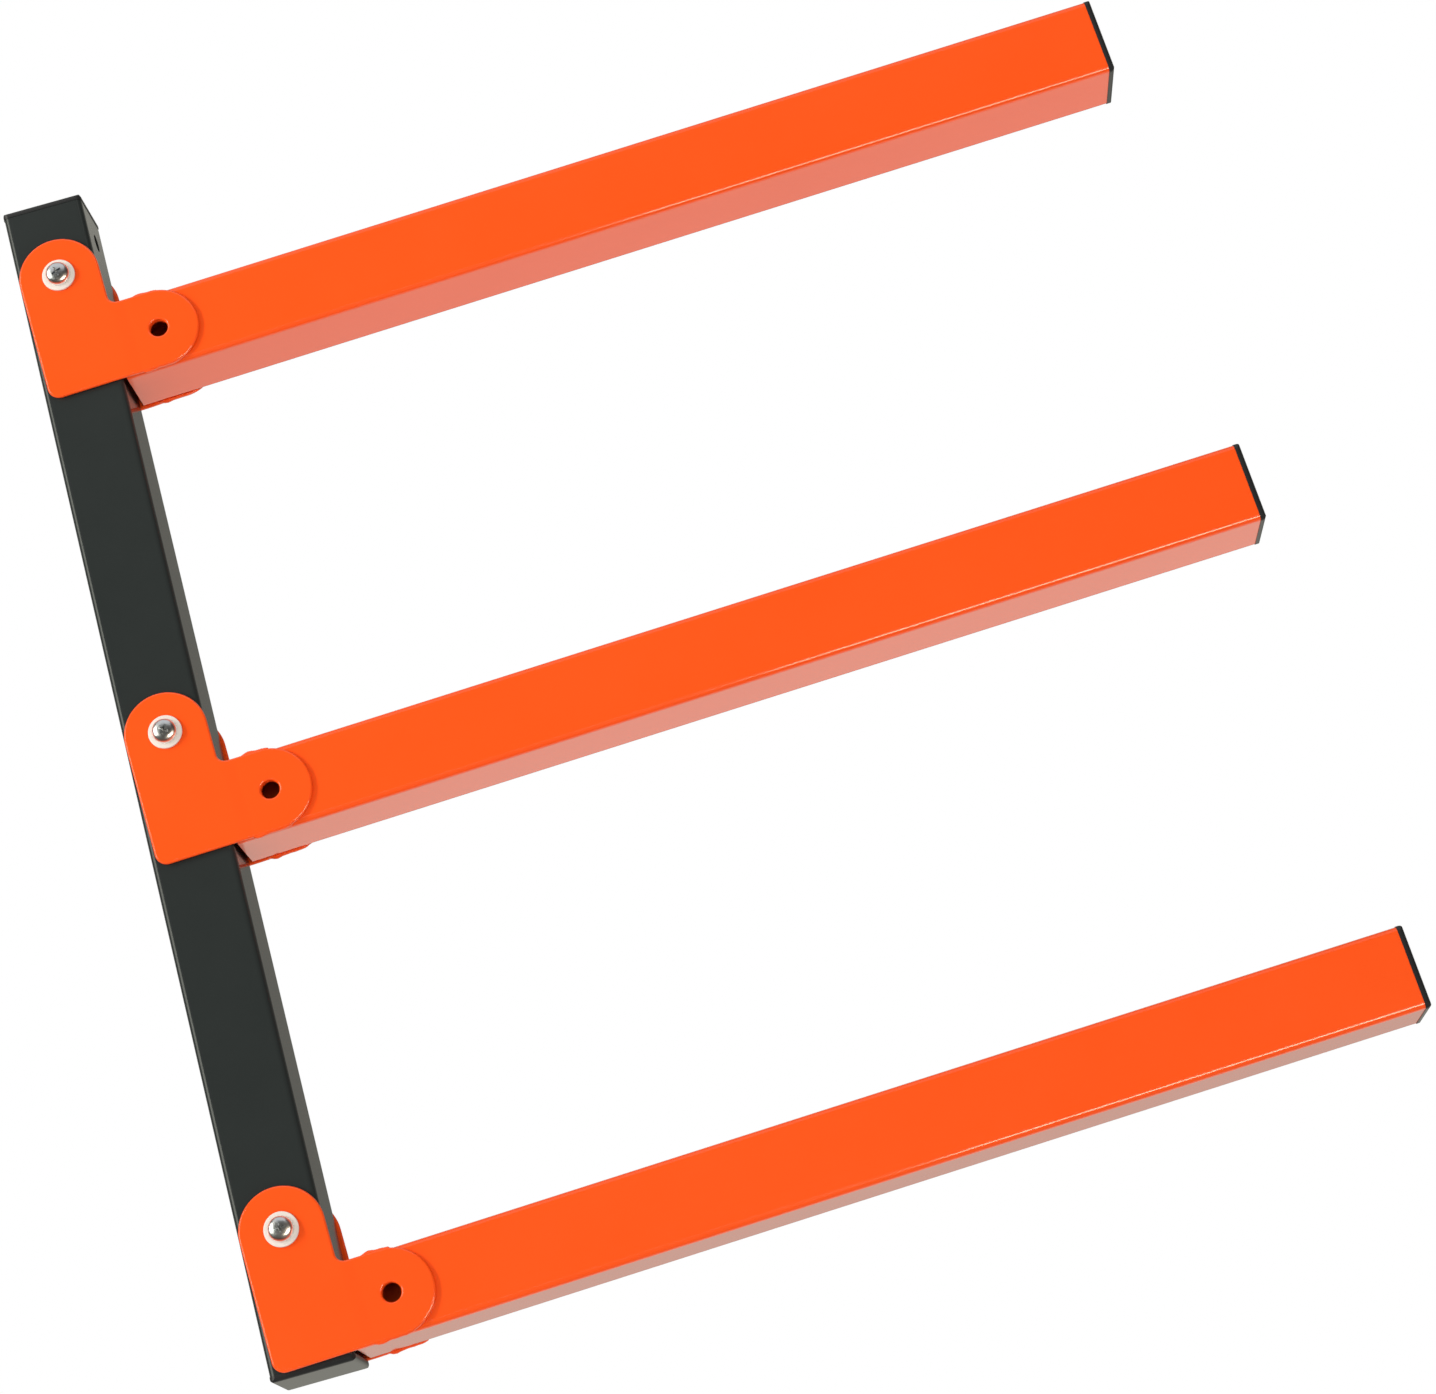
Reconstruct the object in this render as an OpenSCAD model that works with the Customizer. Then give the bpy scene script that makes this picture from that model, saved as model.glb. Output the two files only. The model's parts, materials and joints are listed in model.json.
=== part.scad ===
// Wall rack with three fold-up arms, in millimetres.
// x = 0 is the wall plane behind the post, y = 0 the middle plane,
// z = 0 the middle of the two wall fixing holes. The arms point along +x.

/* [Post] */
// Outside width of the square post tube
post_w = 40; // [36:0.5:50]
// Wall thickness of the post tube
post_wall = 1.5; // [1:0.1:2.5]
// Length of the post tube, without its caps
post_len = 594; // [480:1:800]
// From each end of the post tube to its wall fixing hole
fixing_inset = 16.5; // [15.5:0.5:19]
// Diameter of the wall fixing holes
fixing_d = 9; // [6:0.5:10]
// From the top of the post tube down to the upper pivot
pivot_inset = 39.6; // [36:0.2:60]
// How far the pivots lie out from the middle of the post
pivot_offset = 1.2; // [0.2:0.1:3]

/* [Arms] */
// Outside width of the square arm tubes
arm_w = 40; // [34:0.5:44]
// Wall thickness of the arm tubes
arm_wall = 1.5; // [1:0.1:2.5]
// Length of an arm tube, without its cap
arm_len = 510; // [300:1:700]
// Rise of the arms above square, at rest, in degrees
arm_rise = 2; // [0:0.25:4]
// Gap between the post and the top edge of an arm's inner end, at rest
stop_gap = 0.4; // [0.2:0.1:2]
// Gap between the post and an arm that is folded flat along it
fold_gap = 3.7; // [2.5:0.1:8]
// Outer corner radius of the post and arm tubes
tube_r = 3; // [2.6:0.1:4]

/* [Brackets] */
// Thickness of the bracket plates
plate_t = 2.5; // [2:0.1:4]
// Running gap between the post and each bracket plate
plate_gap = 0.5; // [0.4:0.05:1]
// Clear space between a bracket's round end and the wall plane
wall_gap = 0.9; // [0.4:0.1:2]
// Edge of a bracket plate that shows above and below the arm tube
plate_lip = 0.3; // [0.1:0.1:1]
// From the post out to the cross hole of a square arm
hole_reach = 21.7; // [19:0.1:40]
// Diameter of the cross hole in the near plate and the near wall of the arm
hole_d = 9; // [5:0.5:12]
// Radius of a bracket plate's outer lower corner
plate_corner_r = 6; // [2:0.5:12]
// Radius of a bracket plate's inner corner
plate_fillet_r = 4; // [1:0.5:8]
// Length of the bend between the post side and the arm side of a plate
bend_len = 8; // [4:0.5:10]

/* [Pivot hardware] */
// Diameter of the pivot bolts
bolt_d = 6; // [5:0.5:8]
// Length of a pivot bolt below its head
bolt_len = 60; // [58:0.5:75]
// Width of the bolt head
head_d = 12; // [11:0.5:15]
// Height of the bolt head
head_h = 4.6; // [3.5:0.1:6]
// Radial clearance of a bolt in the plates and the post
bore_gap = 0.25; // [0.1:0.05:0.5]
// Outside diameter of the nylon washers
washer_d = 16.5; // [14:0.5:20]
// Thickness of the nylon washers
washer_t = 1.5; // [1:0.1:2.5]
// Side play between a washer and the plate it runs on
washer_play = 0.1; // [0.05:0.05:0.3]
// Lock nut size across its flats
nut_af = 10; // [9.5:0.5:14]
// Height of the hexagon of a lock nut
nut_hex_h = 4.6; // [4:0.1:6.5]
// Height of the collar on a lock nut
nut_collar_h = 1.8; // [1:0.1:2.5]

/* [Caps] */
// Thickness of a cap's visible flange
cap_t = 3; // [2:0.1:5]
// How far a cap stands proud of its tube all round
cap_lip = 0.3; // [0:0.05:0.35]
// Rounding of a cap's outer edge
cap_edge_r = 2.2; // [0.5:0.1:2.6]
// Depth of the plug of a cap inside its tube
plug_len = 10; // [6:0.5:10.5]
// Wall thickness of the plug
plug_wall = 1.6; // [1:0.1:2.5]
// Clearance of the plug's gripping ribs in the tube
rib_gap = 0.05; // [0.02:0.01:0.2]
// Depth of the gripping ribs
rib_h = 0.8; // [0.4:0.1:1.2]

/* [Welds] */
// Radius of the weld beads
weld_r = 1.5; // [1.2:0.1:2.2]
// From the cross hole back to the start of the upper beads
weld_top_from = 7.5; // [4:0.5:16]
// Length of the upper beads
weld_top_len = 13; // [8:0.5:20]
// From the cross hole back to the start of the lower beads
weld_low_from = 16; // [4:0.5:17]
// Length of the lower beads
weld_low_len = 21; // [8:0.5:22]

/* [Hidden] */
$fn = 48;
orange = "#ff5a20";
black = "#2f3230";
plastic = "#1d1f1e";
zinc = "#c3c8cc";
nylon = "#efe5d8";
levels = ["upper", "middle", "lower"];

pivot_x = post_w / 2 + pivot_offset;
post_face = post_w - pivot_x;
ear_r = pivot_x - wall_gap;
arm_ear_r = arm_w / 2 + plate_lip;
arm_drop = post_face + fold_gap + arm_w / 2;
hole_x = post_face + hole_reach;
arm_start = (post_face + stop_gap - (arm_drop - arm_w / 2) * sin(arm_rise)) / cos(arm_rise);
pivot_top = post_len / 2 - pivot_inset;
pivot_low = -post_len / 2 + arm_drop + arm_ear_r;
pivot_z = [pivot_top, (pivot_top + pivot_low) / 2, pivot_low];
fixing_z = post_len / 2 - fixing_inset;

post_side = post_w / 2 + plate_gap;
arm_side = arm_w / 2;
bend_from = arm_side > post_side ? post_face - bend_len : post_face + 1.7;
washer_y = post_side + plate_t + washer_play;
head_y = washer_y + washer_t;
bore_r = bolt_d / 2 + bore_gap;
edge_r = min(cap_edge_r, cap_t - 0.4);

function piece_names(level) = [for (p = [
    "pivot_bolt", "head_washer", "tail_washer", "lock_nut",
    "arm_tube", "arm_cap", "front_plate", "back_plate", "weld_beads"
]) str(level, "_", p)];

// A square with round corners
module round_square(w, r) {
    square([w - 2 * r, w], center = true);
    square([w, w - 2 * r], center = true);
    for (a = [-1, 1], b = [-1, 1])
        translate([a * (w / 2 - r), b * (w / 2 - r)]) circle(r);
}

// A square tube standing on z = 0
module tube(w, wall, len) {
    linear_extrude(len) difference() {
        round_square(w, tube_r);
        round_square(w - 2 * wall, max(tube_r - wall, 0.1));
    }
}

// A solid bar along y, on the given x and z
module y_bar(r, len, x = 0, z = 0) {
    translate([x, 0, z]) rotate([90, 0, 0]) cylinder(r = r, h = len, center = true);
}

// The side view of a flange: square below, rounded along its upper edges
module flange_side(w) {
    translate([-w / 2, 0]) square([w, cap_t - edge_r]);
    translate([-w / 2 + edge_r, 0]) square([w - 2 * edge_r, cap_t]);
    intersection() {
        translate([-w / 2, 0]) square([w, cap_t]);
        for (s = [-1, 1])
            translate([s * (w / 2 - edge_r), cap_t - edge_r]) circle(edge_r);
    }
}

// One cap on the end of a tube that ends at z = 0 and lies below it
module cap(tube_w, wall) {
    w = tube_w + 2 * cap_lip;
    grip = tube_w - 2 * wall - 2 * rib_gap;
    plug = grip - 2 * rib_h;
    intersection() {
        linear_extrude(cap_t) round_square(w, tube_r + cap_lip);
        rotate([90, 0, 0]) linear_extrude(w + 2, center = true) flange_side(w);
        rotate([90, 0, 90]) linear_extrude(w + 2, center = true) flange_side(w);
    }
    translate([0, 0, -plug_len]) linear_extrude(plug_len) difference() {
        round_square(plug, 1.5);
        round_square(plug - 2 * plug_wall, 0.8);
    }
    for (z = [2, 5, 8])
        translate([0, 0, -plug_len * z / 10 - 0.5]) linear_extrude(1) difference() {
            round_square(grip, max(tube_r - wall, 0.1) + 0.3);
            round_square(plug - plug_wall, 1);
        }
}

// Moves its children to the pivot of a level
module at_pivot(level) {
    translate([pivot_x, 0, pivot_z[level]]) children();
}

// Moves its children to the pivot of a level, turned with the arm
module at_arm(level) {
    at_pivot(level) rotate([0, -arm_rise, 0]) children();
}

module post_tube() {
    color(black) difference() {
        translate([post_w / 2, 0, -post_len / 2]) tube(post_w, post_wall, post_len);
        for (z = pivot_z) y_bar(bore_r, post_w + 2, pivot_x, z);
        for (s = [-1, 1])
            translate([-1, 0, s * fixing_z]) rotate([0, 90, 0]) cylinder(d = fixing_d, h = post_w + 2);
    }
}

module post_top_cap() {
    color(plastic) translate([post_w / 2, 0, post_len / 2]) cap(post_w, post_wall);
}

module post_bottom_cap() {
    color(plastic) translate([post_w / 2, 0, -post_len / 2]) mirror([0, 0, 1]) cap(post_w, post_wall);
}

// Pan head bolt, its head towards -y
module pivot_bolt(turn) {
    edge = head_h * 0.56;
    color(zinc) rotate([90, 0, 0]) {
        translate([0, 0, head_y - bolt_len + 1]) cylinder(d = bolt_d, h = bolt_len - 1);
        translate([0, 0, head_y - bolt_len]) cylinder(d1 = bolt_d - 1.6, d2 = bolt_d, h = 1);
        difference() {
            translate([0, 0, head_y]) rotate_extrude() {
                square([head_d / 2, head_h - edge]);
                square([head_d / 2 - edge, head_h]);
                intersection() {
                    translate([head_d / 2 - edge, head_h - edge]) circle(edge);
                    square([head_d, head_h]);
                }
            }
            for (a = [0, 90])
                translate([0, 0, head_y + head_h]) rotate([0, 0, turn + a]) cross_blade();
        }
    }
}

// One wing of the cross recess, pointing down from z = 0
module cross_blade() {
    w = head_d * 0.25;
    d = head_h * 0.6;
    rotate([90, 0, 0]) linear_extrude(head_d * 0.1, center = true)
        polygon([[-w, 0.5], [w, 0.5], [w, 0], [w * 0.4, -d], [-w * 0.4, -d], [-w, 0]]);
}

// Nylon washer between y = side * washer_y and the head or the nut
module washer(side) {
    color(nylon) rotate([side * -90, 0, 0]) translate([0, 0, washer_y]) difference() {
        cylinder(d = washer_d, h = washer_t);
        translate([0, 0, -1]) cylinder(r = bore_r, h = washer_t + 2);
    }
}

module lock_nut() {
    r = nut_af / 2 / cos(30);
    color(zinc) rotate([-90, 0, 0]) translate([0, 0, head_y]) difference() {
        union() {
            intersection() {
                cylinder(r = r, h = nut_hex_h, $fn = 6);
                cylinder(r1 = r * 0.94, r2 = r * 0.94 + nut_hex_h * 1.7, h = nut_hex_h);
                cylinder(r1 = r * 0.94 + nut_hex_h * 1.7, r2 = r * 0.94, h = nut_hex_h);
            }
            cylinder(d = nut_af * 0.92, h = nut_hex_h + nut_collar_h * 0.6);
            translate([0, 0, nut_hex_h + nut_collar_h * 0.6])
                cylinder(d1 = nut_af * 0.92, d2 = nut_af * 0.8, h = nut_collar_h * 0.4);
        }
        translate([0, 0, -1]) cylinder(d = bolt_d + 0.1, h = nut_hex_h + nut_collar_h + 2);
    }
}

// Everything an arm tube fills, with its bore when solid is false
module arm_bar(solid) {
    translate([arm_start, 0, -arm_drop]) rotate([0, 90, 0]) {
        if (solid) linear_extrude(arm_len) round_square(arm_w, tube_r);
        else tube(arm_w, arm_wall, arm_len);
    }
}

module arm_tube() {
    color(orange) difference() {
        arm_bar(false);
        translate([0, -arm_w / 2, 0]) y_bar(hole_d / 2, arm_w / 2, hole_x, -arm_drop);
    }
}

module arm_cap() {
    color(plastic) translate([arm_start + arm_len, 0, -arm_drop]) rotate([0, 90, 0]) cap(arm_w, arm_wall);
}

// Outline of a bracket plate, with the pivot at the origin and the arm to the right
module plate_outline() {
    low = arm_drop + arm_ear_r;
    high = arm_drop - arm_ear_r;
    difference() {
        union() {
            circle(ear_r, $fn = 96);
            translate([-ear_r, -low]) square([2 * ear_r, low]);
            translate([-ear_r, -low]) square([hole_x + ear_r, low - high]);
            translate([hole_x, -arm_drop]) circle(arm_ear_r, $fn = 96);
            translate([ear_r, -high]) square(plate_fillet_r);
        }
        translate([ear_r + plate_fillet_r, plate_fillet_r - high]) circle(plate_fillet_r);
        difference() {
            translate([-ear_r - 1, -low - 1]) square(plate_corner_r + 1);
            translate([plate_corner_r - ear_r, plate_corner_r - low]) circle(plate_corner_r);
        }
    }
}

// Top view of a bracket plate's sheet: post side, bend, arm side
module plate_section() {
    polygon([
        [-ear_r - 2, post_side],
        [bend_from, post_side],
        [bend_from + bend_len, arm_side],
        [hole_x + arm_ear_r + 2, arm_side],
        [hole_x + arm_ear_r + 2, arm_side + plate_t],
        [bend_from + bend_len, arm_side + plate_t],
        [bend_from, post_side + plate_t],
        [-ear_r - 2, post_side + plate_t]
    ]);
}

// Bracket plate on the +y side, with the cross hole if drilled
module plate(drilled) {
    color(orange) difference() {
        intersection() {
            rotate([90, 0, 0]) translate([0, 0, -2 * post_w]) linear_extrude(2 * post_w) plate_outline();
            translate([0, 0, -arm_drop - arm_ear_r - 5]) linear_extrude(2 * post_w + arm_drop) plate_section();
        }
        y_bar(bore_r, 4 * post_w);
        if (drilled) y_bar(hole_d / 2, 4 * post_w, hole_x, -arm_drop);
    }
}

// Section of a weld bead in the groove between an arm tube and a plate's edge
module weld_section() {
    difference() {
        translate([arm_side + 0.4, arm_w / 2]) circle(weld_r);
        translate([arm_side, 0]) square([plate_t, arm_w / 2 + plate_lip]);
        round_square(arm_w, tube_r);
    }
}

module weld_beads() {
    color(orange) translate([hole_x, 0, -arm_drop]) for (s = [0, 1]) mirror([0, s, 0]) {
        translate([-weld_top_from, 0, 0])
            rotate([90, 0, 90]) linear_extrude(weld_top_len) weld_section();
        mirror([0, 0, 1]) translate([-weld_low_from, 0, 0])
            rotate([90, 0, 90]) linear_extrude(weld_low_len) weld_section();
    }
}

post_tube();
post_top_cap();
post_bottom_cap();
for (k = [0:2]) {
    at_pivot(k) pivot_bolt([20, 55, 5][k]);
    at_pivot(k) washer(-1);
    at_pivot(k) washer(1);
    at_pivot(k) lock_nut();
    at_arm(k) arm_tube();
    at_arm(k) arm_cap();
    at_arm(k) mirror([0, 1, 0]) plate(true);
    at_arm(k) plate(false);
    at_arm(k) weld_beads();
}
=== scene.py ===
# %% [markdown]
# # A wall rack with folding arms
# The rack is a black square post with three orange square arms. Each arm is welded between two
# bracket plates, and the plates turn on a bolt through the post. The measured model comes first,
# as a fixed frame. Everything after it gives that frame its looks: round edges, welds, threads,
# paint, plating and light.

# %% Load the measured model
import json
import math

import bmesh
import bpy
from mathutils import Matrix, Vector


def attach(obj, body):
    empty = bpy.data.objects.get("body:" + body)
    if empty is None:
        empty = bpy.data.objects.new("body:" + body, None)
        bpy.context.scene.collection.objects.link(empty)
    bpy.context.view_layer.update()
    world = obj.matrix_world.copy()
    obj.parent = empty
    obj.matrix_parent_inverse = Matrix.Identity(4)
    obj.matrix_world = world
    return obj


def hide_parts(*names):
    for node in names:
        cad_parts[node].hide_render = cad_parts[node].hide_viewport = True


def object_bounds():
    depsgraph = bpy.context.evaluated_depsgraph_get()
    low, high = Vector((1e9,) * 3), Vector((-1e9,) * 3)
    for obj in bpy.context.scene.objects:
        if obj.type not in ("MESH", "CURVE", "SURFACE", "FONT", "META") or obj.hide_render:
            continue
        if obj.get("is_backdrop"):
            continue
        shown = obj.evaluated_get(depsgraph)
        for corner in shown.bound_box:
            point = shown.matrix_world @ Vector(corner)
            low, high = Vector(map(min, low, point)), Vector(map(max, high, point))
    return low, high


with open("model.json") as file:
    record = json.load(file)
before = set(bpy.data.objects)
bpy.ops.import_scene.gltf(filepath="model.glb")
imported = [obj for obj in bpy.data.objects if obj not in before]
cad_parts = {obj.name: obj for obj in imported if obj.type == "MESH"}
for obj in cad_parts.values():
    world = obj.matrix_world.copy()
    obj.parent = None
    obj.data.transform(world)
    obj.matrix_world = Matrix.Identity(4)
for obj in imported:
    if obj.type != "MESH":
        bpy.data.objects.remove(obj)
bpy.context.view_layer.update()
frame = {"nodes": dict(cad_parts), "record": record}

# %% [markdown]
# ## Where the camera stands
# The photograph was taken from below the rack and a little to the right of the post, with the
# picture rolled so that the post leans to the left. The place, the turn and the lens come from
# lining up the corners of the post and the ends of the arms, so the rack lands on the same pixels.

# %% Camera
scene = bpy.context.scene
camera = bpy.data.objects.new("camera", bpy.data.cameras.new("camera"))
scene.collection.objects.link(camera)
camera.location = (0.26277, -1.60138, -0.52026)
camera.rotation_euler = tuple(math.radians(a) for a in (107.3531, 15.1509, 4.0616))
camera.data.sensor_fit = "HORIZONTAL"
camera.data.sensor_width = 36.0
camera.data.lens = 87.306
camera.data.clip_end = 50.0
scene.camera = camera
print("camera at", tuple(camera.location))

# %% [markdown]
# ## Writing shaders as sums
# A finish is easier to read as a sum than as a drawing of boxes. A small class stands for one
# socket of a node and turns plus, minus and times into Math nodes. A second class holds a set of
# nodes and has a single method that makes any other node, with its settings first and its sockets
# after.

# %% Shader helpers
# The Mix node has sockets of one name for numbers, vectors and colours, so these go by place.
MIX_FACTOR, MIX_FIRST, MIX_SECOND, MIX_COLOUR = 0, 6, 7, 2


class Value:
    """One number that changes over a surface or a sky."""

    def __init__(self, nodes, socket):
        self.nodes, self.socket = nodes, socket

    def _math(self, operation, a, b):
        made = self.nodes.node("ShaderNodeMath", {"operation": operation}, {0: a, 1: b})
        return Value(self.nodes, made.outputs[0])

    def __add__(self, other):
        return self._math("ADD", self, other)

    def __sub__(self, other):
        return self._math("SUBTRACT", self, other)

    def __rsub__(self, other):
        return self._math("SUBTRACT", other, self)

    def __mul__(self, other):
        return self._math("MULTIPLY", self, other)

    __radd__, __rmul__ = __add__, __mul__


class Nodes:
    """A tree of shader nodes."""

    def __init__(self, tree):
        self.tree = tree

    def set(self, node, sockets):
        for key, value in sockets.items():
            socket = node.inputs[key]
            if isinstance(value, Value):
                self.tree.links.new(value.socket, socket)
            elif isinstance(value, bpy.types.NodeSocket):
                self.tree.links.new(value, socket)
            else:
                socket.default_value = value

    def node(self, kind, settings=None, sockets=None):
        made = self.tree.nodes.new(kind)
        for key, value in (settings or {}).items():
            setattr(made, key, value)
        self.set(made, sockets or {})
        return made

    def ramp(self, value, low, high, at_low, at_high):
        """A number that eases from one level to another while another number grows."""
        made = self.node("ShaderNodeMapRange", {"interpolation_type": "SMOOTHSTEP"}, {
            "Value": value, "From Min": low, "From Max": high,
            "To Min": at_low, "To Max": at_high})
        return Value(self, made.outputs["Result"])

    def between(self, factor, first, second):
        """A colour between two, by a number from 0 to 1."""
        made = self.node("ShaderNodeMix", {"data_type": "RGBA"}, {
            MIX_FACTOR: factor, MIX_FIRST: (*first, 1.0), MIX_SECOND: (*second, 1.0)})
        return made.outputs[MIX_COLOUR]


print("shader helpers ready")

# %% [markdown]
# ## Surroundings
# The rack was photographed against a white backdrop. The camera sees that white everywhere.
# Reflections see it too, but only behind the rack, bright at the table, dim above it and a little
# brighter again high up. The camera's side of a studio is dim, and that is why the front faces
# keep a deep colour while the undersides, which mirror the white table, turn pale and a little
# warm. A pale band of wall at the left shows in the gloss as well, as a thin light line on the
# left rims of the plates and on the post. All other rays get a soft fill that is a little stronger
# from below.

# %% World
WHITE, WARM_WHITE = (1.0, 1.0, 1.0), (1.0, 0.985, 0.87)

scene.view_settings.view_transform = "Standard"
world = bpy.data.worlds.new("white_studio")
scene.world = world
world.use_nodes = True
world.node_tree.nodes.clear()
studio = Nodes(world.node_tree)
ray = studio.node("ShaderNodeLightPath").outputs
seen, mirrored, seen_through = (
    Value(studio, ray[f"Is {kind} Ray"]) for kind in ("Camera", "Glossy", "Transmission"))
way = studio.node("ShaderNodeTexCoord").outputs["Generated"]
parts = studio.node("ShaderNodeSeparateXYZ", {}, {"Vector": way}).outputs
side, depth, rise = (Value(studio, parts[axis]) for axis in "XYZ")

table = studio.ramp(rise, -0.32, 0.04, 1.0, 0.25)
high_up = studio.ramp(rise, 0.415, 0.455, 0.0, 0.3)
backdrop = studio.ramp(depth, 0.05, 0.55, 0.05, 1.0) * (table + high_up)
wall = studio.ramp(side, -0.7, -0.5, 4.5, 0.0) * studio.ramp(depth, -0.5, -0.05, 1.0, 0.0)
band = studio.ramp(rise, -0.1, 0.12, 0.0, 1.0) * studio.ramp(rise, 0.5, 0.75, 1.0, 0.2)
fill = seen_through + (1 - seen_through) * (0.56 - 0.42 * rise)
light = seen + (1 - seen) * (mirrored * (backdrop + wall * band) + (1 - mirrored) * fill)
tint = studio.between(mirrored, WHITE, WARM_WHITE)
sky = studio.node("ShaderNodeBackground", {}, {"Color": tint, "Strength": light})
studio.node("ShaderNodeOutputWorld", {}, {"Surface": sky.outputs[0]})
print("world nodes:", len(world.node_tree.nodes))

# %% [markdown]
# ## Lamps and floor
# A long low lamp in front lights the front faces, and stays out of the gloss. A narrow strip below
# it is the other way round: only the gloss sees it, as the thin bright line along the lower edge
# of the arms. It stands to the right, so the line begins about half way out. It is linked to the
# orange and the zinc pieces alone, because the black ones would glare in it when seen from behind.
# A tall lamp at the left gives the soft shadow to the right of each bracket. A lamp overhead
# lights the upper edges and the crowns of the bolts. The floor is far below, and it only shows
# when the rack is seen from above.

# %% Lamps


def strip_lamp(name, place, aim, width, height, watts):
    """A rectangular lamp that looks from its place at a point."""
    lamp = bpy.data.objects.new(name, bpy.data.lights.new(name, "AREA"))
    scene.collection.objects.link(lamp)
    lamp.location = place
    lamp.rotation_euler = (Vector(aim) - Vector(place)).to_track_quat("-Z", "Y").to_euler()
    lamp.data.shape = "RECTANGLE"
    lamp.data.size, lamp.data.size_y = width, height
    lamp.data.energy = watts
    lamp.visible_camera = False
    return lamp


rack_middle = (0.27, 0.0, 0.0)
low_lamp = strip_lamp("low_lamp", (0.3, -2.1, -0.40), rack_middle,
                      width=2.4, height=0.4, watts=15.0)
low_lamp.visible_glossy = False
edge_lamp = strip_lamp("edge_lamp", (1.0, -0.9, -0.70), (1.0, 0.0, 0.0),
                       width=1.25, height=0.3, watts=16.0)
edge_lamp.data.color = (1.0, 0.84, 0.64)
edge_lamp.visible_diffuse = False
edge_lit = bpy.data.collections.new("edge_lit")
edge_lit_slots = ("orange_paint", "zinc_steel")
edge_lamp.light_linking.receiver_collection = edge_lit
left_lamp = strip_lamp("left_lamp", (-1.7, -1.5, 0.7), rack_middle,
                       width=0.4, height=1.6, watts=38.0)
left_lamp.visible_glossy = False
strip_lamp("top_lamp", (0.2, -1.0, 2.0), rack_middle, width=3.0, height=2.4, watts=13.0)

FLOOR_SIZE, FLOOR_HEIGHT = 30, -1.2
bpy.ops.object.select_all(action="DESELECT")
bpy.ops.mesh.primitive_plane_add(size=FLOOR_SIZE, location=(0, 0, FLOOR_HEIGHT))
floor = bpy.context.object
floor.name = "floor"
floor.visible_glossy = floor.visible_diffuse = False
floor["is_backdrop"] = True

# %% [markdown]
# ## Orange and black powder coat
# Both paints are powder, baked on in one coat. Up close such a coat has a fine orange peel, and
# its gloss drifts a little from place to place. Two noises do that: a large one for the drift of
# colour and gloss, a small one for the peel.

# %% Finish class


class Finish(Nodes):
    """A material with one Principled shader and the nodes that feed it."""

    def __init__(self, name, **shader):
        self.material = bpy.data.materials.new(name)
        self.material.use_nodes = True
        super().__init__(self.material.node_tree)
        self.shader = self.tree.nodes["Principled BSDF"]
        self.use(**shader)

    def use(self, **sockets):
        """Set or link sockets of the shader; an underscore stands for a space."""
        self.set(self.shader, {key.replace("_", " "): value for key, value in sockets.items()})

    def noise(self, scale, detail, rough=0.5):
        """A cloudy number from 0 to 1; the scale is the count of clouds in a metre."""
        where = self.node("ShaderNodeTexCoord").outputs["Object"]
        made = self.node("ShaderNodeTexNoise", {}, {
            "Vector": where, "Scale": scale, "Detail": detail, "Roughness": rough})
        return Value(self, made.outputs["Fac"])

    def bumps(self, height, depth, strength):
        """Normals that follow a height; the depth is in metres."""
        made = self.node("ShaderNodeBump", {}, {
            "Height": height, "Distance": depth, "Strength": strength})
        return made.outputs["Normal"]


print("finish helper ready")

# %% Powder coats
orange = Finish("orange_powder_coat", Specular_IOR_Level=0.5, Coat_Roughness=0.05)
drift = orange.noise(14.0, 8.0, 0.65)
peel = orange.noise(620.0, 2.0)
orange.use(
    Base_Color=orange.between(drift, (0.93, 0.084, 0.0075), (0.99, 0.094, 0.0095)),
    Roughness=0.12 + drift * 0.06,
    Coat_Weight=0.25 + drift * 0.10,
    Normal=orange.bumps(peel, 0.00003, 0.25),
)

black = Finish("black_powder_coat", Specular_IOR_Level=0.25, Coat_Roughness=0.06)
drift = black.noise(16.0, 8.0, 0.65)
peel = black.noise(900.0, 2.0)
black.use(
    Base_Color=black.between(drift, (0.022, 0.026, 0.024), (0.029, 0.033, 0.031)),
    Roughness=0.18 + drift * 0.08,
    Coat_Weight=0.15 + drift * 0.15,
    Normal=black.bumps(peel, 0.00004, 0.3),
)
print("paints:", orange.material.name, black.material.name)

# %% [markdown]
# ## Plastic, zinc and nylon
# The end caps are moulded in black plastic, with the fine grain of the mould. The bolts and nuts
# are plated with zinc, which has a bluish tint with a trace of yellow in places. The washers are
# pale nylon.

# %% Cap plastic, zinc and nylon
plastic = Finish("black_cap_plastic", Specular_IOR_Level=0.3)
drift = plastic.noise(40.0, 3.0)
grain = plastic.noise(1500.0, 3.0, 0.6)
plastic.use(
    Base_Color=plastic.between(drift, (0.020, 0.020, 0.020), (0.028, 0.028, 0.027)),
    Roughness=0.24 + grain * 0.14,
    Normal=plastic.bumps(grain, 0.00005, 0.4),
)

zinc = Finish("zinc_plating", Metallic=1.0)
drift = zinc.noise(320.0, 3.0)
scuffs = zinc.noise(2400.0, 2.0)
zinc.use(
    Base_Color=zinc.between(drift, (0.78, 0.85, 0.94), (0.97, 0.97, 0.94)),
    Roughness=0.24 + drift * 0.10 + scuffs * 0.06,
    Normal=zinc.bumps(scuffs, 0.00002, 0.3),
)

nylon = Finish("pale_nylon", Specular_IOR_Level=0.5)
drift = nylon.noise(160.0, 2.0)
nylon.use(
    Base_Color=nylon.between(drift, (0.74, 0.64, 0.56), (0.82, 0.73, 0.65)),
    Roughness=0.30 + drift * 0.12,
)

finishes = {"black_paint": black, "orange_paint": orange, "cap_plastic": plastic,
            "zinc_steel": zinc, "nylon": nylon}
print("finishes:", sorted(finishes))

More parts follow.
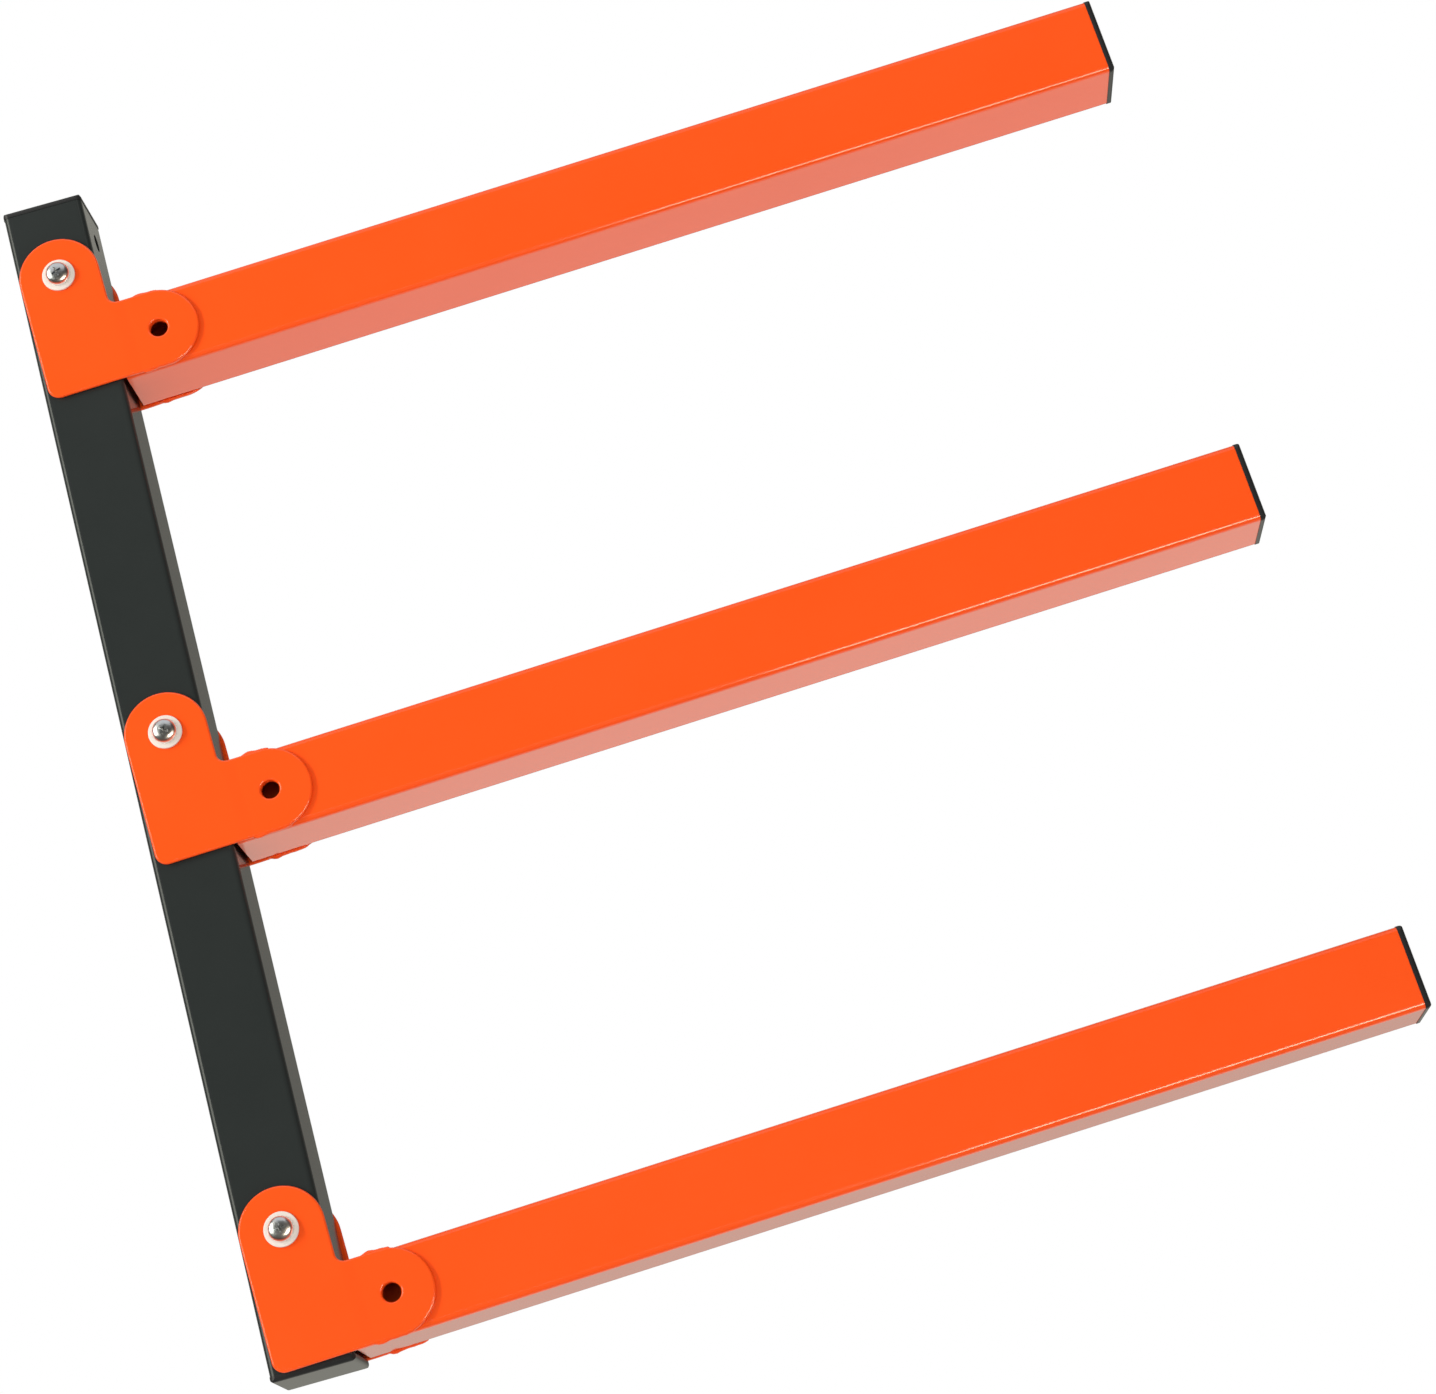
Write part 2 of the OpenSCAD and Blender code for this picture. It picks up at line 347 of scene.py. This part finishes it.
# %% Dress the measured nodes
for part in frame["record"]["subparts"]:
    node = frame["nodes"][part["node"]]
    node.data.materials.clear()
    node.data.materials.append(finishes[part["material_slot"]].material)
    if part["material_slot"] in edge_lit_slots:
        edge_lit.objects.link(node)

pale = Finish("pale_floor", Base_Color=(0.9, 0.9, 0.9, 1.0), Roughness=0.9,
              Emission_Color=(1.0, 1.0, 1.0, 1.0), Emission_Strength=0.45)
floor.data.materials.append(pale.material)

# %% [markdown]
# ## Working as by hand
# The new pieces are modelled step by step: add a simple solid, select some of its faces or edges
# by where they are, and extrude, bevel or move them. These helpers keep the steps short. Places
# are in millimetres, as on a drawing, and each arm's pieces are drawn with the pivot at the
# origin.

# %% Adding solids
MM = 0.001


def let_go():
    """Leave edit mode and let go of everything."""
    if bpy.context.object and bpy.context.object.mode != "OBJECT":
        bpy.ops.object.mode_set(mode="OBJECT")
    bpy.ops.object.select_all(action="DESELECT")


def hold(piece, mode="OBJECT"):
    """Let go of everything else, take one piece in hand and set the mode."""
    let_go()
    piece.select_set(True)
    bpy.context.view_layer.objects.active = piece
    bpy.ops.object.mode_set(mode=mode)


def begin(name, add, location, **how):
    """Add a primitive at its size and place, and put both into its mesh."""
    let_go()
    add(location=Vector(location) * MM, **how)
    piece = bpy.context.object
    piece.name = piece.data.name = name
    bpy.ops.object.transform_apply(location=True, rotation=True, scale=True)
    return piece


def bar(name, radius, low, high, x=0.0, z=0.0, sides=64, turn=0.0):
    """A round or many-sided bar along Y."""
    return begin(name, bpy.ops.mesh.primitive_cylinder_add, (x, (low + high) / 2, z),
                 vertices=sides, radius=radius * MM, depth=(high - low) * MM,
                 rotation=(math.radians(90), math.radians(turn), 0))


def block(name, low, high):
    """A block between two corners."""
    middle, size = (Vector(low) + Vector(high)) / 2, Vector(high) - Vector(low)
    return begin(name, bpy.ops.mesh.primitive_cube_add, middle, size=1, scale=size * MM)


print("one millimetre is", MM, "of a metre")

# %% Selecting and shaping
SNAP = 0.02


def near(a, b):
    """Whether two measures are one and the same place."""
    return abs(a - b) < SNAP


def pick(piece, kind, test):
    """In edit mode, select the corners, edges or faces that pass a test at all of their corners."""
    hold(piece, "EDIT")
    bpy.ops.mesh.select_mode(type=kind)
    bpy.ops.mesh.select_all(action="DESELECT")
    mesh = bmesh.from_edit_mesh(piece.data)
    items = {"VERT": mesh.verts, "EDGE": mesh.edges, "FACE": mesh.faces}[kind]
    for item in items:
        corners = [item] if kind == "VERT" else item.verts
        if all(test(*(corner.co / MM)) for corner in corners):
            item.select_set(True)
    bmesh.update_edit_mesh(piece.data)


def apply_modifier(piece, kind, **settings):
    """Add a modifier with its settings and apply it at once."""
    hold(piece)
    made = piece.modifiers.new(kind.lower(), kind)
    for key, value in settings.items():
        setattr(made, key, value)
    bpy.ops.object.modifier_apply(modifier=made.name)


def cut(piece, tool, operation="DIFFERENCE"):
    """Take a tool's shape out of a piece, or keep only what both share."""
    apply_modifier(piece, "BOOLEAN", object=tool, operation=operation, solver="EXACT")
    bpy.data.objects.remove(tool, do_unlink=True)


def smooth(piece, degrees):
    """Shade smooth wherever faces meet at less than this angle."""
    hold(piece)
    bpy.ops.object.shade_smooth_by_angle(angle=math.radians(degrees))


print("places count as one within", SNAP, "mm")

# %% Copying and handing over


def copied(piece, name):
    """A copy of a piece, with a mesh of its own."""
    hold(piece)
    bpy.ops.object.duplicate()
    made = bpy.context.object
    made.name = made.data.name = name
    return made


def moved(piece, place):
    """Move and turn a piece, and put its place into its mesh."""
    hold(piece)
    piece.matrix_world = place
    bpy.ops.object.transform_apply(location=True, rotation=True, scale=True)
    return piece


def join(pieces, name):
    """Join pieces into the first of them, under a new name."""
    hold(pieces[0])
    for other in pieces[1:]:
        other.select_set(True)
    bpy.ops.object.join()
    pieces[0].name = pieces[0].data.name = name
    return pieces[0]


def hand_over(piece, slot, body, *nodes):
    """Give a finished piece its finish and the body it moves with, and hide the nodes it stands
    for.
    """
    hold(piece)
    piece.data.materials.clear()
    piece.data.materials.append(finishes[slot].material)
    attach(piece, body)
    if slot in edge_lit_slots:
        edge_lit.objects.link(piece)
    if nodes:
        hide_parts(*nodes)


# %% Places of the pivots
PIVOT_X = 21.2
ARM_RISE = math.radians(2)
levels = {"upper": 257.4, "middle": 11.6, "lower": -234.2}
arm_places, pivot_places = {}, {}
for level, height in levels.items():
    pivot_places[level] = Matrix.Translation(Vector((PIVOT_X, 0, height)) * MM)
    arm_places[level] = pivot_places[level] @ Matrix.Rotation(-ARM_RISE, 4, "Y")
print("pivots at", levels)

# %% [markdown]
# ## Bracket plates
# Each bracket is a pair of plates, cut to an L from 2.5 mm steel, with a round end at the pivot
# and one on the arm. A soft step in the plate takes it from its running gap beside the post to the
# wall of the arm. Only the near plate has the cross hole. A plate starts as a block for the
# upright leg. The other leg is extruded from its side, the corners are rounded with bevels, the
# holes are cut, and the paint's soft edge is one more bevel. The step comes last: the plate is
# sliced, and each slice is pushed in a little further than the one before.

# %% One plate
END_R = 20.3                        # radius of the round ends
PLATE_IN, PLATE_OUT = 20.5, 23.0    # faces of a plate, from the middle of the post
ARM_X, ARM_Z = 40.5, -42.5          # middle of the round end on the arm
ARM_TOP, ARM_LOW = ARM_Z + END_R, ARM_Z - END_R
PIVOT_HOLE_R, ARM_HOLE_R = 3.25, 4.5
DRILL_FROM, DRILL_TO = 19.0, 25.0   # well clear of both faces
SOFT_EDGE = 1.2
STEP_FROM, STEP_LENGTH, STEP_IN, STEP_SLICES = 20.5, 8.0, 0.5, 10

nearly_round = END_R - 0.001        # so that the two bevels of one end don't cross
plate_corners = (                   # x, z, radius, segments
    (-END_R, END_R, nearly_round, 28),
    (END_R, END_R, nearly_round, 28),
    (ARM_X + END_R, ARM_TOP, nearly_round, 28),
    (ARM_X + END_R, ARM_LOW, nearly_round, 28),
    (-END_R, ARM_LOW, 6.0, 10),
    (END_R, ARM_TOP, 4.0, 8),
)


def l_shape(low, high):
    """A flat L between two depths, with round ends and corners."""
    plate = block("plate", (-END_R, low, ARM_LOW), (END_R, high, END_R))
    hold(plate, "EDIT")
    bpy.ops.mesh.select_all(action="SELECT")
    bpy.ops.mesh.bisect(plane_co=(0, 0, ARM_TOP * MM), plane_no=(0, 0, 1))
    pick(plate, "FACE", lambda x, y, z: near(x, END_R) and z < ARM_TOP + 0.1)
    bpy.ops.mesh.extrude_region_move(TRANSFORM_OT_translate={"value": (ARM_X * MM, 0, 0)})
    for corner_x, corner_z, radius, steps in plate_corners:
        pick(plate, "EDGE", lambda x, y, z: near(x, corner_x) and near(z, corner_z))
        bpy.ops.mesh.bevel(offset=radius * MM, segments=steps, profile=0.5, affect="EDGES")
    bpy.ops.mesh.select_all(action="SELECT")
    bpy.ops.mesh.remove_doubles(threshold=SNAP * MM)
    bpy.ops.mesh.dissolve_limited(angle_limit=math.radians(0.3))
    return plate


def press_step(plate, side):
    """Slice the plate beside the post and push the slices in, to the wall of the arm."""
    starts = [STEP_FROM + STEP_LENGTH * i / STEP_SLICES for i in range(STEP_SLICES + 1)]
    for start in starts:
        hold(plate, "EDIT")
        bpy.ops.mesh.select_all(action="SELECT")
        bpy.ops.mesh.bisect(plane_co=(start * MM, 0, 0), plane_no=(1, 0, 0))
    shares = [i / STEP_SLICES for i in range(STEP_SLICES + 1)]
    ease = [(3 - 2 * share) * share ** 2 for share in shares]
    for i in range(1, STEP_SLICES + 1):
        pick(plate, "VERT", lambda x, y, z: x > starts[i] - SNAP)
        push = -side * STEP_IN * (ease[i] - ease[i - 1])
        bpy.ops.transform.translate(value=(0, push * MM, 0))


def bracket_plate(side):
    """A plate on the near side (-1) or the far side (+1), with the pivot at the origin."""
    plate = l_shape(*sorted((side * PLATE_IN, side * PLATE_OUT)))
    drill = sorted((side * DRILL_FROM, side * DRILL_TO))
    cut(plate, bar("pivot_drill", PIVOT_HOLE_R, *drill, sides=48))
    if side < 0:
        cut(plate, bar("arm_drill", ARM_HOLE_R, *drill, ARM_X, ARM_Z, sides=56))
    apply_modifier(plate, "BEVEL", width=SOFT_EDGE * MM, segments=6, limit_method="ANGLE",
                   angle_limit=math.radians(50), use_clamp_overlap=False)
    press_step(plate, side)
    smooth(plate, 60)
    apply_modifier(plate, "WEIGHTED_NORMAL", weight=80, keep_sharp=True)
    return plate


for side, word in ((-1, "front"), (1, "back")):
    pattern = bracket_plate(side)
    print(word, "plate faces:", len(pattern.data.polygons))
    for level in levels:
        plate = moved(copied(pattern, f"{level}_{word}_bracket"), arm_places[level])
        hand_over(plate, "orange_paint", f"{level}_arm", f"{level}_{word}_plate")
    bpy.data.objects.remove(pattern, do_unlink=True)

# %% [markdown]
# ## Weld beads
# The plates are welded to the arm along their upper and lower edges, by hand, and the paint has
# rounded the ripples. A weld is a row of drops, each laid over the one before. One drop is
# modelled, copied along the plate's edge in slightly different sizes, and the row is melted into
# one skin by a voxel remesh and a few rounds of smoothing.

# %% Weld runs
DROP_R, DROP_PITCH = 1.5, 1.25
WELD_Y = 20.85                      # depth of a run, from the middle of the post
UPPER_RUN, LOWER_RUN = (31.5, 45.0), (26.5, 46.0)   # first and last drop, along the arm
UPPER_SUNK, LOWER_SUNK = 0.45, 0.7                  # how far the drops sit inside the plate's edge
VOXEL = 0.28


def plate_edge(x):
    """How far the edge of a plate lies above or below the middle of the arm."""
    return END_R if x < ARM_X else math.sqrt(max(END_R ** 2 - (x - ARM_X) ** 2, 0))


def drop_size(x, first, count, shift):
    """Drops swell soon after the start of a run and waver a little after that."""
    swell = 0.42 * math.exp(-((x - first - 3.2) / 2.8) ** 2)
    waver = 0.04 * math.sin(1.7 * count + shift)
    return (0.74 + swell + waver) * min(1.0, 0.5 + 0.2 * count)


def weld_run(first, last, side, up, size, sunk, shift):
    """A row of drops along the upper (up = 1) or lower (-1) edge of a plate."""
    drop = begin("drop", bpy.ops.mesh.primitive_uv_sphere_add, (0, 0, 0),
                 segments=16, ring_count=10, radius=DROP_R * MM)
    row, x, count = [], first, 0
    while x <= last:
        grow = size * drop_size(x, first, count, shift)
        z = ARM_Z + up * (plate_edge(x) - sunk)
        place = Matrix.Translation(Vector((x, side * WELD_Y, z)) * MM)
        scaled = place @ Matrix.Diagonal((grow, 0.92, grow, 1))
        row.append(moved(copied(drop, "drop_copy"), scaled))
        x, count = x + DROP_PITCH, count + 1
    bpy.data.objects.remove(drop, do_unlink=True)
    return join(row, "run")


bead_sizes = {"upper": 0.85, "middle": 1.08, "lower": 1.04}
for number, (level, size) in enumerate(bead_sizes.items()):
    runs = []
    for side in (-1, 1):
        runs.append(weld_run(*UPPER_RUN, side, 1, size, UPPER_SUNK, number))
        runs.append(weld_run(*LOWER_RUN, side, -1, size, LOWER_SUNK, number + 2.0 * side))
    beads = join(runs, f"{level}_welds")
    apply_modifier(beads, "REMESH", mode="VOXEL", voxel_size=VOXEL * MM, use_smooth_shade=True)
    apply_modifier(beads, "SMOOTH", factor=0.5, iterations=14)
    moved(beads, arm_places[level])
    hand_over(beads, "orange_paint", f"{level}_arm", f"{level}_weld_beads")
    print(level, "weld faces:", len(beads.data.polygons))

# %% [markdown]
# ## Pivot bolts
# A pivot bolt is an M6 bolt with a pan head and a cross recess. Its outline is drawn as a row of
# points and spun round the axis, which gives a clean crown. Two tapered blades cut the recess. The
# thread at the far end is one turn of its zigzag, wound up by a Screw modifier, cut off flat and
# chamfered.

# %% Turned outline
TURN_STEPS = 64


def draw_line(piece, points):
    """Shrink a small plane to one corner and pull a line out of it."""
    hold(piece, "EDIT")
    bpy.ops.mesh.select_all(action="SELECT")
    bpy.ops.mesh.merge(type="CENTER")
    for (r0, y0), (r1, y1) in zip(points, points[1:]):
        pull = ((r1 - r0) * MM, (y1 - y0) * MM, 0)
        bpy.ops.mesh.extrude_region_move(TRANSFORM_OT_translate={"value": pull})


def outline(name, points):
    """A line of points of (radius, y), drawn beside the Y axis."""
    radius, y = points[0]
    piece = begin(name, bpy.ops.mesh.primitive_plane_add, (radius, y, 0), size=0.1 * MM)
    draw_line(piece, points)
    return piece


def turned(name, points):
    """A solid of turning: points of (radius, y), spun round the Y axis."""
    piece = outline(name, points)
    bpy.ops.mesh.select_all(action="SELECT")
    bpy.ops.mesh.spin(steps=TURN_STEPS, angle=math.tau, center=(0, 0, 0), axis=(0, 1, 0))
    bpy.ops.mesh.select_all(action="SELECT")
    bpy.ops.mesh.remove_doubles(threshold=0.001 * MM)
    bpy.ops.mesh.normals_make_consistent(inside=False)
    hold(piece)
    return piece


head_crown = [(0.0, -29.2), (1.2, -29.18), (2.4, -29.08), (3.5, -28.86), (4.4, -28.48)]
head_side = [(5.1, -27.95), (5.6, -27.3), (5.88, -26.4), (6.0, -25.4), (5.95, -24.85), (5.7, -24.6)]
shank = [(3.0, -24.6), (3.0, 29.4), (0.0, 29.4)]
bolt_pattern = turned("bolt_pattern", head_crown + head_side + shank)
print("bolt faces:", len(bolt_pattern.data.polygons))

# %% Thread and recess
THREAD_FROM, THREAD_TO = 29.3, 35.4
THREAD_PITCH, THREAD_TURNS = 1.0, 9
RECESS_TOP, RECESS_FLOOR = -29.7, -26.6
BLADE_REACH, BLADE_HALF = 3.0, 0.55         # half the length and half the width of a blade
BLADE_TAPER = (0.35, 1, 0.6)


def threaded_end():
    """The end of the bolt: a wound zigzag, cut to length and chamfered at its point."""
    zigzag = [(3.0, 28.0), (2.95, 28.06), (2.5, 28.5), (2.95, 28.94), (3.0, 29.0)]
    thread = outline("thread", zigzag)
    apply_modifier(thread, "SCREW", axis="Y", angle=math.tau, screw_offset=THREAD_PITCH * MM,
                   iterations=THREAD_TURNS, steps=40, render_steps=40)
    hold(thread, "EDIT")
    bpy.ops.mesh.select_all(action="SELECT")
    bpy.ops.mesh.remove_doubles(threshold=0.002 * MM)
    for y, end in ((THREAD_FROM, {"clear_inner": True}), (THREAD_TO, {"clear_outer": True})):
        bpy.ops.mesh.select_all(action="SELECT")
        bpy.ops.mesh.bisect(plane_co=(0, y * MM, 0), plane_no=(0, 1, 0), use_fill=True, **end)
    bpy.ops.mesh.select_all(action="SELECT")
    bpy.ops.mesh.normals_make_consistent(inside=False)
    point = bar("point", 3.2, 29.0, THREAD_TO)
    pick(point, "EDGE", lambda x, y, z: near(y, THREAD_TO))
    bpy.ops.mesh.bevel(offset=0.8 * MM, segments=1, affect="EDGES")
    cut(thread, point, "INTERSECT")
    return thread


def recess_blade():
    """One arm of the cross: a blade that tapers towards its floor."""
    blade = block("blade", (-BLADE_REACH, RECESS_TOP, -BLADE_HALF),
                  (BLADE_REACH, RECESS_FLOOR, BLADE_HALF))
    pick(blade, "FACE", lambda x, y, z: near(y, RECESS_FLOOR))
    bpy.ops.transform.resize(value=BLADE_TAPER)
    return blade


bolt_pattern = join([bolt_pattern, threaded_end()], "bolt_pattern")
for level, turn in (("upper", 20), ("middle", 55), ("lower", 5)):
    bolt = copied(bolt_pattern, f"{level}_bolt")
    for quarter in (0, 90):
        spun = Matrix.Rotation(math.radians(-turn - quarter), 4, "Y")
        cut(bolt, moved(recess_blade(), spun))
    smooth(bolt, 32)
    moved(bolt, pivot_places[level])
    hand_over(bolt, "zinc_steel", "post", f"{level}_pivot_bolt")
    print(level, "bolt faces:", len(bolt.data.polygons))
bpy.data.objects.remove(bolt_pattern, do_unlink=True)

# %% [markdown]
# ## Washers
# A nylon washer sits under each head and each nut, so that the plates turn without scraping. A
# disc has both ends inset, the inner discs are bridged into a bore, and the rims are softened with
# a bevel.

# %% Washers
WASHER_BORE_R, WASHER_R = 3.25, 8.25
WASHER_IN, WASHER_OUT = 23.1, 24.6  # faces of a washer, from the middle of the post


def washer(name, low, high, bore, rim, soft):
    """A ring along Y between two depths, with soft outer rims."""

    def on_outer_rim(x, y, z):
        return (near(y, low) or near(y, high)) and math.hypot(x, z) > rim - 0.1

    ring = bar(name, rim, low, high)
    hold(ring, "EDIT")
    bpy.ops.mesh.select_mode(type="FACE")
    bpy.ops.mesh.select_all(action="DESELECT")
    mesh = bmesh.from_edit_mesh(ring.data)
    for face in mesh.faces:
        if len(face.verts) > 4:
            face.select_set(True)
    bmesh.update_edit_mesh(ring.data)
    bpy.ops.mesh.inset(thickness=(rim - bore) * MM, use_individual=True)
    bpy.ops.mesh.bridge_edge_loops()
    pick(ring, "EDGE", on_outer_rim)
    bpy.ops.mesh.bevel(offset=soft * MM, segments=4, affect="EDGES")
    bpy.ops.mesh.select_all(action="SELECT")
    bpy.ops.mesh.normals_make_consistent(inside=False)
    smooth(ring, 50)
    return ring


for word, low, high in (("head", -WASHER_OUT, -WASHER_IN), ("tail", WASHER_IN, WASHER_OUT)):
    pattern = washer("washer", low, high, WASHER_BORE_R, WASHER_R, soft=0.5)
    for level in levels:
        ring = moved(copied(pattern, f"{level}_{word}_ring"), pivot_places[level])
        hand_over(ring, "nylon", "post", f"{level}_{word}_washer")
    print(word, "washer faces:", len(pattern.data.polygons))
    bpy.data.objects.remove(pattern, do_unlink=True)

# %% [markdown]
# ## Lock nuts
# The nuts at the back are lock nuts: a hexagon with turned corners, a round collar on top, and a
# nylon ring in the collar that grips the thread. The hexagon is trimmed by a disc that is narrower
# at the washer, which leaves the curved lines of a real nut. The collar gets a rounded rim and a
# well for the ring.

# %% Nuts and their rings
NUT_FROM, NUT_TO, NUT_FLATS = WASHER_OUT, 29.2, 10.0
TRIM_R, TRIM_TAPER = 6.2, 0.87

corner_r = NUT_FLATS / 2 / math.cos(math.radians(30))
hexagon = bar("hexagon", corner_r, NUT_FROM, NUT_TO, sides=6, turn=30)
trim = bar("trim", TRIM_R, NUT_FROM, NUT_TO, sides=96)
pick(trim, "FACE", lambda x, y, z: near(y, NUT_FROM))
bpy.ops.transform.resize(value=(TRIM_TAPER, 1, TRIM_TAPER))
cut(hexagon, trim, "INTERSECT")
collar_side = [(0.0, 28.6), (4.6, 28.6), (4.6, 30.0), (4.5, 30.45), (4.25, 30.8), (3.9, 31.0)]
collar_well = [(3.6, 31.0), (3.6, 30.2), (0.0, 30.2)]
collar = turned("collar", collar_side + collar_well)
nut_pattern = join([hexagon, collar], "nut_pattern")
smooth(nut_pattern, 30)
ring_pattern = washer("ring_pattern", 29.9, 30.75, bore=2.9, rim=3.6, soft=0.15)
for level in levels:
    nut = moved(copied(nut_pattern, f"{level}_nut"), pivot_places[level])
    hand_over(nut, "zinc_steel", "post", f"{level}_lock_nut")
    ring = moved(copied(ring_pattern, f"{level}_nut_ring"), pivot_places[level])
    hand_over(ring, "nylon", "post")
print("nut faces:", len(nut_pattern.data.polygons))
bpy.data.objects.remove(nut_pattern, do_unlink=True)
bpy.data.objects.remove(ring_pattern, do_unlink=True)

# %% [markdown]
# ## Sizes, and the end
# The dressed model is meant to stay inside the measured one; the box around the dressed model is
# printed.

# %% Sizes
low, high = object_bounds()
print("visual box:", tuple(low), tuple(high))
